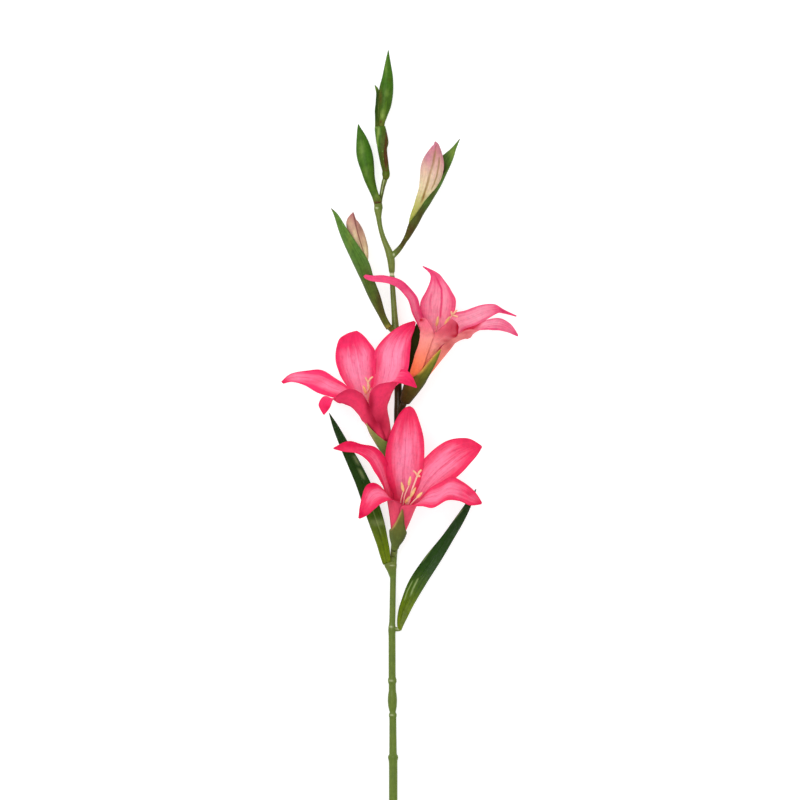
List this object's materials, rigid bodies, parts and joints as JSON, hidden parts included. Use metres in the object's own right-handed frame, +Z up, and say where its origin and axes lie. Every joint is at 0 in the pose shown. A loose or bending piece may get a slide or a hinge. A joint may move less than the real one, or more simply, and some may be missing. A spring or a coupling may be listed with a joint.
{
  "type": "gladiolus, one cut flower stem",
  "caption": "Long jointed flower stem lying flat, with open funnel blooms, side buds in long bracts, a top cluster of green buds and slim blade leaves.",
  "frame": {"origin": "centre of the part's outline seen from above, on the surface that it lies on", "axes": "+Y runs along the stem towards the top bud, +Z points up from the surface towards the open side of the blooms, +X to the right of the stem seen from above"},
  "size_m": [0.2371, 0.8396, 0.0651],
  "materials": {
    "petal": "satin",
    "stamen": "satin",
    "stem": "satin",
    "leaf": "satin",
    "bract": "satin",
    "green_bud": "satin",
    "pink_bud": "matte"
  },
  "bodies": {
    "root": {"stem": "stem", "leaf_left": "leaf", "leaf_right": "leaf", "bloom_lower": "petal", "bloom_middle": "petal", "bloom_upper": "petal", "stamens_lower": "stamen", "stamens_middle": "stamen", "stamens_upper": "stamen", "spathe_lower": "bract", "spathe_middle": "bract", "spathe_upper": "bract", "bud_left": "pink_bud", "bud_left_bract": "green_bud", "bud_right": "pink_bud", "bud_right_bract": "green_bud", "bud_top": "green_bud", "bud_top_bract": "green_bud", "bud_second": "green_bud", "bud_third": "green_bud"}
  },
  "joints": []
}
